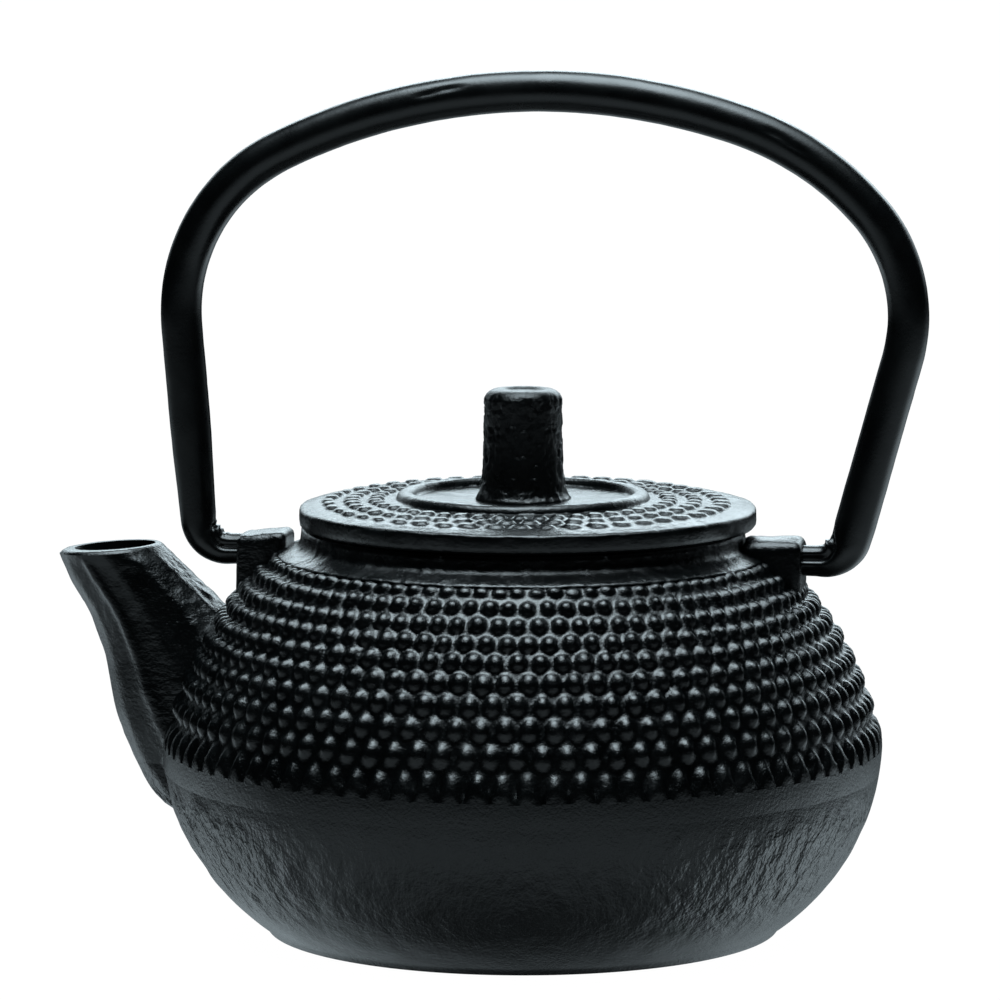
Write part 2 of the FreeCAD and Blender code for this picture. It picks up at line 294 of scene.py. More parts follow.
def belly_rings():
    """From the middle of the flat base to just below the hobnails."""
    columns = BELLY_COLUMNS
    theta = angles(columns)
    rings = [circle_ring(columns, 14.0, 0), circle_ring(columns, 30.0, 0), circle_ring(columns, 39.6, 0),
             circle_ring(columns, BASE_R, 0.05)]
    low = math.degrees(math.asin((BELLY_START_Z - BELLY_CENTRE[1]) / BELLY_R))
    for phi in np.linspace(low, -2.2, 44):
        r, z = on_circle(BELLY_CENTRE, BELLY_R, phi)
        a = math.radians(phi)
        push = belly_relief(theta, np.full(columns, phi))
        flat = np.column_stack([r * np.cos(theta), r * np.sin(theta), np.full(columns, z)])
        push = push + 0.05 * fbm(flat, 5.0, 2, 71)
        rr = r + push * math.cos(a)
        ring = np.column_stack([rr * np.cos(theta), rr * np.sin(theta), z + push * math.sin(a)])
        ring[:, 0] -= spout_swell(ring)
        rings.append(ring)
    return rings


def spout_swell(ring):
    """How far the belly swells towards the spout's root."""
    near = np.exp(-(ring[:, 1] / 12.0) ** 2) * (ring[:, 0] < 0)
    return 1.3 * near * step(ring[:, 2], 9, 19) * (1 - step(ring[:, 2], 26, 34))


def shoulder_rings():
    """The rows of hobnails, with CELL rings to each row."""
    columns = BUMP_COLUMNS * CELL
    theta = angles(columns)
    rows = np.array(BUMP_ROWS)
    edges = np.concatenate([[rows[0] - 2.9], (rows[1:] + rows[:-1]) / 2, [rows[-1] + 1.2]])
    places = np.concatenate([np.linspace(a, b, CELL, endpoint=False) for a, b in zip(edges, edges[1:])])
    places = np.append(places, edges[-1])
    rings = []
    for phi in places:
        r, z = on_circle(SHOULDER_CENTRE, SHOULDER_R, phi)
        if z < 33.5:                             # low down, the belly's circle is the inner one of the two
            belly_r = BELLY_CENTRE[0] + math.sqrt(BELLY_R ** 2 - (z - BELLY_CENTRE[1]) ** 2)
            r = min(r, belly_r)
        a = math.radians(phi)
        flat = np.column_stack([r * np.cos(theta), r * np.sin(theta), np.full(columns, z)])
        push = hobnail_height(theta, np.full(columns, phi)) - BUMP_H
        push = np.minimum(push, 0.12 * step(z, 34, 38) + 0.02)
        push = push + 0.06 * fbm(flat, 1.7, 1, 81) + 0.075 * fbm(flat, 1.05, 1, 85)
        push = push + 0.05 * fbm(flat, 7.0, 1, 91)
        rr = r + push * math.cos(a)
        rings.append(np.column_stack([rr * np.cos(theta), rr * np.sin(theta), z + push * math.sin(a)]))
    return rings


def collar_rings():
    """From the top row of hobnails up the shallow slope and the neck to the neck's top."""
    outline = [(41.25, 63.1), (41.2, 63.3), (41.0, 63.45), (40.5, 63.66), (39.9, 63.9), (39.3, 64.14),
               (38.7, 64.38), (38.2, 64.62), (37.75, 64.95), (37.45, 65.4), (37.28, 66.0), (COLLAR_R, 66.8),
               (COLLAR_R - 0.05, NECK_TOP - 0.35), (COLLAR_R - 0.4, NECK_TOP), (35.0, NECK_TOP)]
    rings = []
    for r, z in outline:
        ring = circle_ring(BUMP_COLUMNS * CELL, r, z)
        rough = 0.07 * fbm(ring, 1.3, 3, 101)
        ring[:, :2] *= (1 + rough / r)[:, None]
        if z < NECK_TOP - 0.5:
            ring[:, 2] += 0.8 * rough
        rings.append(ring)
    rings.append(circle_ring(BUMP_COLUMNS * CELL // 2, 20.0, NECK_TOP))
    return rings


def cavity_tool():
    """The inside of the pot, as a closed solid to cut away."""
    inner_belly = BELLY_R - WALL
    inner_shoulder = SHOULDER_R - WALL
    columns = 128
    outline = [(12.0, FLOOR_Z), (30.0, FLOOR_Z), (40.0, FLOOR_Z + 0.02)]
    for phi in np.linspace(-51.5, -2, 16):
        outline.append(on_circle(BELLY_CENTRE, inner_belly, phi))
    for phi in np.linspace(15, 43.5, 12):
        outline.append(on_circle(SHOULDER_CENTRE, inner_shoulder, phi))
    outline += [(40.5, 59.7), (36.5, 60.8), (33.0, 61.1), (MOUTH_R, 61.9), (MOUTH_R, LEDGE_Z - 0.3),
                (MOUTH_R + 0.3, LEDGE_Z), (LEDGE_R, LEDGE_Z), (LEDGE_R, NECK_TOP - 0.3),
                (LEDGE_R + 0.3, NECK_TOP + 0.02), (LEDGE_R + 0.3, NECK_TOP + 2)]
    return rings_mesh("cavity", [circle_ring(columns, r, z) for r, z in outline])


# ---------------------------------------------------------------- spout
# (tip-side edge, pot-side edge, half width) of each section, edges as (x, z). They are the CAD's, but for the
# first one, which is lower because the rounded lip stands on it.
SPOUT_SECTIONS = (
    ((-79.5, 61.9), (-61.8, 63.2), 8.4),
    ((-77.6, 57.4), (-58.6, 60.3), 8.3),
    ((-74.2, 51.6), (-54.8, 56.8), 8.5),
    ((-71.4, 43.2), (-50.4, 52.8), 9.2),
    ((-68.9, 32.2), (-46.0, 49.0), 10.2),
    ((-62.6, 20.4), (-42.0, 42.0), 11.0),
    ((-53.0, 15.0), (-38.0, 36.0), 11.0),
)
CHANNEL_SECTIONS = (
    ((-77.6, 64.6), (-64.0, 65.6), 6.2),
    ((-75.0, 57.0), (-61.2, 59.4), 6.0),
    ((-71.4, 50.2), (-58.6, 54.0), 5.8),
    ((-67.6, 42.0), (-55.6, 48.0), 5.8),
    ((-63.4, 33.6), (-51.6, 43.0), 6.0),
    ((-56.0, 25.0), (-45.0, 38.0), 6.4),
    ((-47.0, 20.0), (-38.0, 34.0), 6.6),
)
RIDGE_U, RIDGE_V = 0.37, 0.90    # the place of the section's side ridge, and the ridge's height and width
RIDGE_H = 0.42
RIDGE_WIDTH = 0.075
# outline of the cast spout's section: u towards the tip side, v across, both as parts of the half sizes
SPOUT_OUTLINE = ((1.0, 0.0), (0.97, 0.30), (0.80, 0.60), (0.38, 0.91), (0.22, 0.93), (-0.10, 1.0), (-0.58, 0.92),
                 (-0.90, 0.52), (-1.0, 0.0))


def spline_rows(rows, count):
    """Catmull-Rom rows through the given ones, evenly spaced by index."""
    rows = np.array([np.concatenate([a, b, [w]]) for a, b, w in rows])
    padded = np.vstack([2 * rows[0] - rows[1], rows, 2 * rows[-1] - rows[-2]])
    out = []
    for t in np.linspace(0, len(rows) - 1, count):
        i = min(int(t), len(rows) - 2)
        f = t - i
        p0, p1, p2, p3 = padded[i:i + 4]
        out.append(0.5 * ((2 * p1) + (p2 - p0) * f + (2 * p0 - 5 * p1 + 4 * p2 - p3) * f * f
                          + (3 * p1 - p0 - 3 * p2 + p3) * f ** 3))
    return np.array(out)


def faceted_section(n):
    """n points (u, v) round the spout's section, with softened ridges."""
    half = np.array(SPOUT_OUTLINE)
    loop = np.vstack([half, (half * [1, -1])[-2:0:-1], half[:1]])
    lengths = np.concatenate([[0], np.cumsum(np.linalg.norm(np.diff(loop, axis=0), axis=1))])
    s = np.linspace(0, lengths[-1], n, endpoint=False)
    points = np.column_stack([np.interp(s, lengths, loop[:, k]) for k in (0, 1)])
    return 0.5 * points + 0.25 * (np.roll(points, 1, axis=0) + np.roll(points, -1, axis=0))


def round_section(n):
    t = angles(n)
    return np.column_stack([np.cos(t), np.sin(t)])


def section_ring(row, shape):
    tip, pot, width = row[:2], row[2:4], row[4]
    centre = (tip + pot) / 2
    half = (tip - pot) / 2
    ring = np.zeros((len(shape), 3))
    ring[:, 0] = centre[0] + shape[:, 0] * half[0]
    ring[:, 2] = centre[1] + shape[:, 0] * half[1]
    ring[:, 1] = shape[:, 1] * width
    return ring


def spout_mesh():
    """The cast spout: round at the mouth, faceted with a ridge on each side below it, rough at its root."""
    n = 112
    rows = spline_rows(SPOUT_SECTIONS, 64)
    facets = faceted_section(n)
    circle = round_section(n)
    rings = []
    for k, row in enumerate(rows):
        t = k / (len(rows) - 1)
        mix = step(t, 0.0, 0.10) * 0.88 + 0.12
        ring = section_ring(row, circle * (1 - mix) + facets * mix)
        centre = ring.mean(axis=0)
        out = ring - centre
        out /= np.linalg.norm(out, axis=1)[:, None]
        root = step(ring[:, 0], -64, -54) * step(ring[:, 2], 26, 34)
        off_ridge = (facets[:, 0] - RIDGE_U) ** 2 + (np.abs(facets[:, 1]) - RIDGE_V) ** 2
        ridge = RIDGE_H * np.exp(-off_ridge / RIDGE_WIDTH ** 2) * mix
        ring += out * ridge[:, None]
        rough = 0.07 * fbm(ring, 4.0, 2, 111) + 0.08 * fbm(ring * [1, 1, 0.4], 1.3, 3, 115)
        rough = rough + 0.17 * fbm(ring, 1.5, 3, 121) * root
        ring += out * rough[:, None]
        rings.append(ring)
    lip = rings[0]
    centre = lip.mean(axis=0)
    up = np.array([0, 0, 1.0])
    rounded = [centre + (lip - centre) * f + up * h for f, h in ((0.86, 0.55), (0.92, 0.48), (0.965, 0.25),
                                                                 (0.99, -0.05))]
    return rings_mesh("spout_solid", rounded + rings)


def channel_tool():
    """The spout's channel, as a closed solid to cut away, from above the mouth to inside the pot."""
    rows = spline_rows(CHANNEL_SECTIONS, 24)
    rings = [section_ring(row, round_section(48)) for row in rows]
    centre = rings[0].mean(axis=0)
    top = centre + (rings[0] - centre) * 1.12 + np.array([0, 0, 1.5])
    return rings_mesh("channel", [top] + rings)


# ---------------------------------------------------------------- lugs
# inner x, outer x, outer and inner top of the left and right lug, which are uneven and slimmer than the CAD's
LUG_SHAPES = {-1: (39.8, 48.4, 65.8, 66.7), 1: (37.0, 47.3, 67.0, 66.8)}
LUG_HALF_Y = 4.7
LUG_LOW_Z = 54.0         # the lug's foot, inside the shoulder
LUG_FLARE = 0.4          # how much wider the foot is, each side
LUG_BEVEL = 1.25
LUG_CROWN = {-1: 0.012, 1: 0.040}    # how fast the top falls away from its middle
BORE_R = 2.72


def lug_mesh(side):
    """A cast lug: a tapered block with soft edges, rooted in the shoulder."""
    bm = bmesh.new()
    bmesh.ops.create_cube(bm, size=1)
    inner, outer, top_outer, top_inner = LUG_SHAPES[side]
    for v in bm.verts:
        top = v.co.z > 0
        far = v.co.x > 0
        half = LUG_HALF_Y + (0.0 if top else LUG_FLARE)
        v.co.x = outer if far else inner
        v.co.y = half if v.co.y > 0 else -half
        v.co.z = (top_outer if far else top_inner) if top else LUG_LOW_Z
    bmesh.ops.bevel(bm, geom=list(bm.edges), offset=LUG_BEVEL, segments=4, profile=0.5, affect="EDGES")
    bmesh.ops.subdivide_edges(bm, edges=[e for e in bm.edges if e.calc_length() > 1.5], cuts=9, use_grid_fill=True)
    bmesh.ops.triangulate(bm, faces=bm.faces)
    verts = np.array([v.co[:] for v in bm.verts])
    normals = np.array([v.normal[:] for v in bm.verts])
    faces = [tuple(v.index for v in f.verts) for f in bm.faces]
    bm.free()
    verts[:, 2] -= LUG_CROWN[side] * verts[:, 1] ** 2 * step(verts[:, 2], 60.5, 65.0)
    verts = verts + normals * (0.09 * fbm(verts, 3.2, 1, 131 + side) + 0.07 * fbm(verts, 1.1, 2, 135))[:, None]
    verts[:, :2] *= side
    return make_object("lug", verts, faces)


def bore_tool(side):
    """The hole for one of the bail's pins, as a closed solid to cut away. It ends inside the lug."""
    ring = round_section(40) * BORE_R
    rings = []
    for x in (40.6, 44.0, 47.2, 50.0):
        rings.append(np.column_stack([np.full(40, side * x), ring[:, 0], PIVOT_Z + ring[:, 1]]))
    return rings_mesh("bore", rings)


def make_pot():
    pot = rings_mesh("teapot_body", belly_rings() + shoulder_rings() + collar_rings(), smooth_deg=50)
    boolean(pot, "UNION", [lug_mesh(-1), lug_mesh(1), spout_mesh()])
    boolean(pot, "DIFFERENCE", [cavity_tool(), channel_tool(), bore_tool(-1), bore_tool(1)])
    set_smooth(pot, 48)
    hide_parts("pot_body", "spout")
    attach(pot, "pot")
    return pot


# ================================================================ lid
STUDS = 48
STUD_RINGS = ((33.0, 1.95, 1.75), (28.8, 1.75, 1.7), (24.6, 1.5, 1.6))   # ring radius, half width, half length
STUD_H = 0.55
LID_OFF_CENTRE = 0.8     # the rim's casting sits this far off the knob's axis
DISC_Z = 72.45


def stud_height(theta, r):
    """Height of the lid's studs at angle theta and radius r."""
    rng = np.random.default_rng(SEED + 1)
    height = np.zeros_like(theta)
    pitch = 2 * math.pi / STUDS
    for k, (ring_r, half_wide, half_long) in enumerate(STUD_RINGS):
        shift = 0.5 * (k % 2)
        column = np.round(theta / pitch - shift).astype(int)
        index = column % STUDS
        size = 1 + rng.normal(0, 0.05, STUDS)
        du = (theta - (column + shift) * pitch) * ring_r - rng.normal(0, 0.10, STUDS)[index]
        dv = r - ring_r - rng.normal(0, 0.12, STUDS)[index]
        rho2 = (du / (half_wide * size[index])) ** 2 + (dv / (half_long * size[index])) ** 2
        cap = 0.78 * step(1 - np.sqrt(rho2), 0.0, 0.42) + 0.22 * np.clip(1 - rho2, 0, 1)
        height = np.maximum(height, STUD_H * size[index] * cap)
    return height


def make_lid():
    """One closed outline, turned: bore, underside, skirt, rim, border, studded field, raised ring and disc."""
    low = LID_LOW[2]
    under = 69.6
    rim_low = 68.0
    top_low = rim_low + 2.9      # everything above this is the lid's upper face
    outline = [(2.1, DISC_Z), (2.1, under), (14.0, under), (27.4, under), (28.0, under - 0.6), (28.0, low + 0.4),
               (28.3, low), (29.9, low), (30.4, low + 0.5), (30.4, rim_low - 0.4), (30.8, rim_low),
               (34.0, rim_low), (LID_R - 0.9, rim_low), (LID_R - 0.4, rim_low + 0.1), (LID_R - 0.12, rim_low + 0.45),
               (LID_R - 0.02, rim_low + 1.2), (LID_R, rim_low + 2.0), (LID_R - 0.03, rim_low + 2.75),
               (LID_R - 0.10, rim_low + 3.0), (LID_R - 0.30, rim_low + 3.2)]
    border = [(37.5, 71.33), (37.0, 71.44), (36.4, 71.57)]
    field = [(r, 71.7 + (35.9 - r) * 0.052) for r in np.linspace(35.9, 21.5, 46)]
    ring_part = [(21.28, 72.55), (21.2, 72.85), (21.05, 73.2), (20.75, 73.55), (20.3, 73.76), (19.8, 73.84),
                 (19.2, 73.84), (18.8, 73.7), (18.5, 73.4), (18.35, 72.95), (18.2, 72.6), (17.8, 72.47)]
    disc_part = [(r, DISC_Z) for r in np.linspace(16.4, 3.0, 11)]
    rings = []
    for r, z in outline + border + field + ring_part + disc_part:
        columns = 480 if r > 13 and z > rim_low + 0.5 else 240 if r > 10 else 120
        theta = angles(columns)
        ring = circle_ring(columns, r, z)
        if z > top_low:
            ring[:, 2] += 0.055 * fbm(ring, 1.6, 3, 141) + 0.06 * fbm(ring, 7.0, 1, 151)
        else:
            ring[:, :2] *= (1 + 0.09 * fbm(ring, 3.0, 3, 161) / r)[:, None]
        if 21.3 < r < 36.0 and z > rim_low + 3:
            ring[:, 2] += stud_height(theta, np.full(columns, r)) * step(r, 21.3, 22.2)
        ring[:, 0] += LID_OFF_CENTRE * step(r, 31.0, 35.5)
        rings.append(ring)
    lid = rings_mesh("lid_casting", rings, closed=True, smooth_deg=50)
    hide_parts("lid")
    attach(lid, "lid_assembly")
    return lid


# ================================================================ knob
KNOB_R = 6.72            # of the stem, just above its flared foot
KNOB_TAPER = 0.24
KNOB_FLARE = 1.35


def make_knob():
    """The tall knob: bark-like sides, fins at its foot, and a shallow dish in its top."""
    columns = 144
    theta = angles(columns)
    top = KNOB_HIGH[2]
    foot = DISC_Z
    outline = [(3.0, foot), (8.0, foot)]
    for t in np.linspace(0, 1, 60):
        z = foot + 0.25 + t * (top - 1.9 - foot)
        flare = KNOB_FLARE * math.exp(-t * 9.0)
        outline.append((KNOB_R - KNOB_TAPER * t + flare, z))
    outline += [(6.35, top - 1.35), (6.1, top - 0.8), (5.6, top - 0.35), (5.0, top - 0.08), (4.4, top),
                (3.9, top - 0.04), (3.5, top - 0.2), (3.1, top - 0.42), (2.2, top - 0.48), (1.0, top - 0.5)]
    rings = []
    for r, z in outline:
        ring = circle_ring(columns, r, z)
        side = step(z, foot + 0.1, foot + 1.0) * (1 - step(z, top - 1.6, top - 0.4))
        p = np.column_stack([7 * np.cos(theta), 7 * np.sin(theta), np.full(columns, z * 0.5)])
        warp = 0.8 * fbm(p, 3.0, 2, 171)
        p = p + warp[:, None]
        bark = 0.20 * (0.55 - np.abs(fbm(p, 1.3, 3, 181)))
        pits = -0.26 * step(fbm(ring, 1.1, 2, 191), 0.25, 0.7)
        fins = 0.85 * np.clip(fbm(np.column_stack([p[:, 0], p[:, 1], p[:, 2] * 0.2]), 2.3, 2, 201), -0.5, 1)
        fins = fins * (1 - step(z, foot + 0.6, foot + 3.2))
        rr = r + (bark + pits) * side + fins * (0.4 + 0.6 * side) * (r > 5)
        rr = rr + 0.04 * fbm(ring, 1.2, 2, 211)
        ring[:, 0] = rr * np.cos(theta)
        ring[:, 1] = rr * np.sin(theta)
        rings.append(ring)
    knob = rings_mesh("knob_casting", rings, smooth_deg=60)
    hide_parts("lid_knob")
    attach(knob, "lid_assembly")
    return knob


# ================================================================ bail
HOOK_R = 5.2             # of the bend between a leg and its pin
LEG_TOP = (-58.2, 100.6)     # (x, z) where the left leg ends and the first arc starts
LEG_HEADING = 94.6       # of the left leg, in degrees from +X
BAIL_ARCS = ((30.3, 68.4), (102.3, 45.5), (48.3, 29.2), (26.5, 56.9))    # (radius, degrees), left to right
BAIL_R = 3.46            # a little under the CAD's, as the pins are
PIN_R = 2.6
PIN_END_X = 41.5
FINE, COARSE = 0.4, 1.1  # spacing of the rings in the bends and along the rest
PIN_SPACING = 0.5
# (x, angle round the tube, half length) of the nicks in the top of the tube
BAIL_NICKS = ((-15.5, 113, 1.6), (-12.0, 119, 2.2), (42.2, 110, 1.5), (45.3, 104, 1.8))


def heading_vector(degrees):
    return np.array([math.cos(math.radians(degrees)), math.sin(math.radians(degrees))])


def arc_points(point, heading, radius, turn, spacing):
    """Points along an arc that turns clockwise, without its first one."""
    centre = point + radius * heading_vector(heading - 90)
    count = max(2, int(math.radians(turn) * radius / spacing))
    places = [heading - turn * (k + 1) / count for k in range(count)]
    return [(centre + radius * heading_vector(h + 90), h) for h in places]


def line_points(start, end, heading, spacing):
    count = max(1, int(np.linalg.norm(end - start) / spacing))
    return [(start + (end - start) * (k + 1) / count, heading) for k in range(count)]


def bail_route():
    """Points (x, z) and headings from the left pin's end, over the top, to the right pin's end."""
    left_top = np.array(LEG_TOP)
    down = -heading_vector(LEG_HEADING)
    corner = left_top + down * (PIVOT_Z - left_top[1]) / down[1]
    turn = 180 - LEG_HEADING
    trim = HOOK_R * math.tan(math.radians(turn) / 2)
    start = np.array([-PIN_END_X, PIVOT_Z])
    route = [(start, 180.0)]
    bend_start = corner + np.array([trim, 0])
    route += line_points(start, bend_start, 180.0, PIN_SPACING)
    route += arc_points(bend_start, 180.0, HOOK_R, turn, FINE)
    route += line_points(route[-1][0], left_top, LEG_HEADING, COARSE)
    point, heading = left_top, LEG_HEADING
    for radius, bend in BAIL_ARCS:
        route += arc_points(point, heading, radius, bend, COARSE)
        point, heading = route[-1]
    away = heading_vector(heading)
    corner = point + away * (PIVOT_Z - point[1]) / away[1]
    turn = 180 + heading
    trim = HOOK_R * math.tan(math.radians(turn) / 2)
    bend_start = corner - away * trim
    route += line_points(point, bend_start, heading, COARSE)
    route += arc_points(bend_start, heading, HOOK_R, turn, FINE)
    route += line_points(route[-1][0], np.array([PIN_END_X, PIVOT_Z]), -180.0, PIN_SPACING)
    return route


def make_bail():
    """The rolled tube: its seam on the inner side, pinched and creased where it is bent into the lugs."""
    around = angles(56)                  # 0 is the inner side of the loop, 90 degrees the front (-Y)
    around_deg = np.degrees(around)
    from_inner = (around_deg + 180) % 360 - 180
    route = bail_route()
    points = np.array([p for p, h in route])
    headings = np.array([h for p, h in route])
    arc_length = np.concatenate([[0], np.cumsum(np.linalg.norm(np.diff(points, axis=0), axis=1))])
    total = arc_length[-1]
    rings = []
    for (x, z), heading, s in zip(points, headings, arc_length):
        inward = heading_vector(heading - 90)
        end = min(s, total - s)                      # distance from the nearer pin's end
        right = s > total / 2
        if right:
            radius = np.interp(end, (8.0, 10.5, 14.0, 18.0), (PIN_R, 2.9, 3.3, BAIL_R))
        else:
            radius = np.interp(end, (8.0, 12.0, 19.0, 32.0), (PIN_R, 2.85, 3.05, BAIL_R))
        fold_at = 74 - 66 * step(end, 9.0, 17.0)
        fold_depth = 0.95 * (1 - step(end, 12.5, 17.5))
        offset = (around_deg - fold_at + 180) % 360 - 180
        fold = fold_depth * np.exp(-(offset / 13.0) ** 2)
        bump_at = 11.3 if right else 12.6
        bump = 0.75 * math.exp(-((end - bump_at) / 0.9) ** 2) * np.exp(-(from_inner - 22) ** 2 / 30.0 ** 2)
        crimp = 0.0
        if not right:
            wave = math.sin(end * 2.9) * math.exp(-((end - 12.5) / 3.2) ** 2)
            crimp = 0.30 * wave * np.exp(-from_inner ** 2 / 42.0 ** 2)
        nick = 0.0
        if z > 2 * PIVOT_Z:
            for nick_x, nick_at, length in BAIL_NICKS:
                across_nick = np.exp(-((around_deg - nick_at) / 7.0) ** 2)
                nick = nick + 0.28 * math.exp(-((x - nick_x) / length) ** 4) * across_nick
        seam = 0.28 * np.exp(-(from_inner / 5.0) ** 2) * step(end, 16.0, 22.0)
        local_r = radius - fold + bump + crimp - seam - nick
        across = local_r * np.cos(around)
        side = -local_r * np.sin(around)
        ring = np.column_stack([x + across * inward[0], side, z + across * inward[1]])
        out = ring - np.array([x, 0, z])
        out /= np.linalg.norm(out, axis=1)[:, None]
        push = 0.035 * fbm(ring, 7.0, 2, 221) + 0.02 * fbm(ring, 1.3, 2, 231)
        rings.append(ring + out * push[:, None])
    bail = rings_mesh("bail_tube", rings, smooth_deg=60)
    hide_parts("bail_handle")
    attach(bail, "bail")
    return bail


# ================================================================ materials
def new_material(name, color, roughness, specular=0.5, metallic=0.0):
    material = bpy.data.materials.new(name)
    material.use_nodes = True
    shader = material.node_tree.nodes["Principled BSDF"]
    shader.inputs["Base Color"].default_value = (*color, 1)
    shader.inputs["Roughness"].default_value = roughness
    shader.inputs["Specular IOR Level"].default_value = specular
    shader.inputs["Metallic"].default_value = metallic
    return material, material.node_tree, shader


def add(tree, kind, **settings):
    node = tree.nodes.new(kind)
    for key, value in settings.items():
        if key in node.inputs:
            node.inputs[key].default_value = value
        else:
            setattr(node, key, value)
    return node


def object_noise(tree, size_mm, detail=3.0, stretch=(1, 1, 1)):
    """Noise in the piece's own coordinates, with lumps of about size_mm."""
    where = add(tree, "ShaderNodeTexCoord")
    mapping = add(tree, "ShaderNodeMapping")
    mapping.inputs["Scale"].default_value = stretch
    noise = add(tree, "ShaderNodeTexNoise", Scale=1 / (size_mm * MM), Detail=detail, Roughness=0.6)
    tree.links.new(where.outputs["Object"], mapping.inputs["Vector"])
    tree.links.new(mapping.outputs["Vector"], noise.inputs["Vector"])
    return noise.outputs["Fac"]


def map_range(tree, value, low, high, to_low, to_high):
    node = tree.nodes.new("ShaderNodeMapRange")
    tree.links.new(value, node.inputs["Value"])
    for key, number in (("From Min", low), ("From Max", high), ("To Min", to_low), ("To Max", to_high)):
        node.inputs[key].default_value = number
    return node.outputs["Result"]


def ramp(tree, value, stops):
    node = tree.nodes.new("ShaderNodeValToRGB")
    elements = node.color_ramp.elements
    while len(elements) < len(stops):
        elements.new(0.5)
    for element, (place, color) in zip(elements, stops):
        element.position = place
        element.color = (*color, 1)
    tree.links.new(value, node.inputs["Fac"])
    return node.outputs["Color"]


def bump_chain(tree, shader, layers):
    """Stacked bump maps: (height output, distance in mm, strength)."""
    last = None
    for height, distance, strength in layers:
        node = add(tree, "ShaderNodeBump", Strength=strength, Distance=distance * MM)
        tree.links.new(height, node.inputs["Height"])
        if last is not None:
            tree.links.new(last, node.inputs["Normal"])
        last = node.outputs["Normal"]
    tree.links.new(last, shader.inputs["Normal"])


def cast_iron(name, dark, light, rough_low, rough_high, grain, specular=0.5, wrinkles=None):
    """Black-coated cast iron: fine sand grain, patchy gloss, and a little tone in the coating."""
    material, tree, shader = new_material(name, dark, 0.4, specular)
    patches = object_noise(tree, 9.0, 4.0)
    sand = object_noise(tree, 0.55, 3.0)
    fine = object_noise(tree, 0.22, 2.0)
    tree.links.new(ramp(tree, patches, ((0.35, dark), (0.68, light))), shader.inputs["Base Color"])
    tree.links.new(map_range(tree, patches, 0.3, 0.7, rough_low, rough_high), shader.inputs["Roughness"])
    layers = [(sand, 0.05 * grain, 0.7), (fine, 0.02 * grain, 0.6)]
    if wrinkles is not None:
        layers.append((wrinkles(tree), 2.0, 1.0))
    bump_chain(tree, shader, layers)
    return material


def casting_wrinkles(tree):
    """Short creases in the casting: on the lower belly, strongest under the spout, and at the spout's root."""
    where = add(tree, "ShaderNodeTexCoord")
    split = tree.nodes.new("ShaderNodeSeparateXYZ")
    tree.links.new(where.outputs["Object"], split.inputs["Vector"])
    x, y, z = split.outputs["X"], split.outputs["Y"], split.outputs["Z"]
    belly = multiply(tree, map_range(tree, z, 0.020, 0.027, 1.0, 0.0), map_range(tree, z, 0.003, 0.011, 0.0, 1.0))
    by_side = add_up(tree, (map_range(tree, x, -0.050, -0.026, 1.0, 0.22),
                            map_range(tree, x, 0.026, 0.050, 0.0, 0.55)))
    belly = multiply(tree, belly, by_side)
    creases = multiply(tree, object_noise(tree, 2.8, 3.0, (1.0, 1.0, 0.6)), belly)
    root = multiply(tree, map_range(tree, z, 0.026, 0.034, 0.0, 1.0), map_range(tree, x, -0.070, -0.060, 0.0, 0.10))
    root = multiply(tree, root, map_range(tree, y, -0.0120, -0.0105, 0.0, 1.0))
    root = multiply(tree, root, map_range(tree, x, -0.046, -0.040, 1.0, 0.0))
    scratches = multiply(tree, object_noise(tree, 1.5, 2.0, (0.6, 1.0, 1.3)), root)
    return add_up(tree, (creases, scratches))


def paint_all(objects):
    iron = cast_iron("black_iron", (0.0007, 0.0011, 0.0013), (0.0016, 0.0022, 0.0024), 0.20, 0.30, 2.6,
                     wrinkles=casting_wrinkles)
    lid_iron = cast_iron("black_iron_lid", (0.0010, 0.0014, 0.0016), (0.0024, 0.0031, 0.0034), 0.20, 0.30, 2.4)
    knob_iron = cast_iron("black_iron_knob", (0.0006, 0.0009, 0.0010), (0.0016, 0.0021, 0.0024), 0.26, 0.38, 3.4)
    tube = cast_iron("black_tube", (0.0010, 0.0014, 0.0016), (0.0022, 0.0028, 0.0030), 0.22, 0.33, 0.5)
    for obj, material in zip(objects, (iron, lid_iron, knob_iron, tube)):
        obj.data.materials.clear()
        obj.data.materials.append(material)


def paint_steel():
    stainless, tree, shader = new_material("stainless", (0.60, 0.60, 0.59), 0.28, 0.5, 1.0)
    brushed = object_noise(tree, 0.5, 3.0, (1.0, 1.0, 8.0))
    tree.links.new(map_range(tree, brushed, 0.3, 0.7, 0.20, 0.36), shader.inputs["Roughness"])
    bump_chain(tree, shader, ((brushed, 0.01, 0.4),))
    zinc, tree, shader = new_material("zinc", (0.55, 0.55, 0.53), 0.35, 0.5, 1.0)
    patches = object_noise(tree, 1.5, 3.0)
    tree.links.new(ramp(tree, patches, ((0.35, (0.42, 0.42, 0.41)), (0.65, (0.62, 0.61, 0.58)))),
                   shader.inputs["Base Color"])
    tree.links.new(map_range(tree, patches, 0.3, 0.7, 0.28, 0.45), shader.inputs["Roughness"])
    for node, material in (("infuser_rim", stainless), ("infuser_wall", stainless), ("infuser_base", stainless),
                           ("knob_washer", zinc), ("knob_rivet", zinc)):
        mesh = frame["nodes"][node].data
        if not mesh.materials:
            mesh.materials.append(material)
        for slot in frame["nodes"][node].material_slots:
            slot.material = material


# ================================================================ studio
TURN_DEG = 9.0           # how far the camera stands round from the pot's front, towards +X
CAMERA_DISTANCE = 1000.0
CAMERA_HEIGHT = 198.9
CAMERA_PITCH = 0.126
FOCAL = 6.015            # focal length over image width
SENSOR = 36.0
AXIS_SHIFT = -0.0231
COOL = (0.78, 0.93, 1.0)


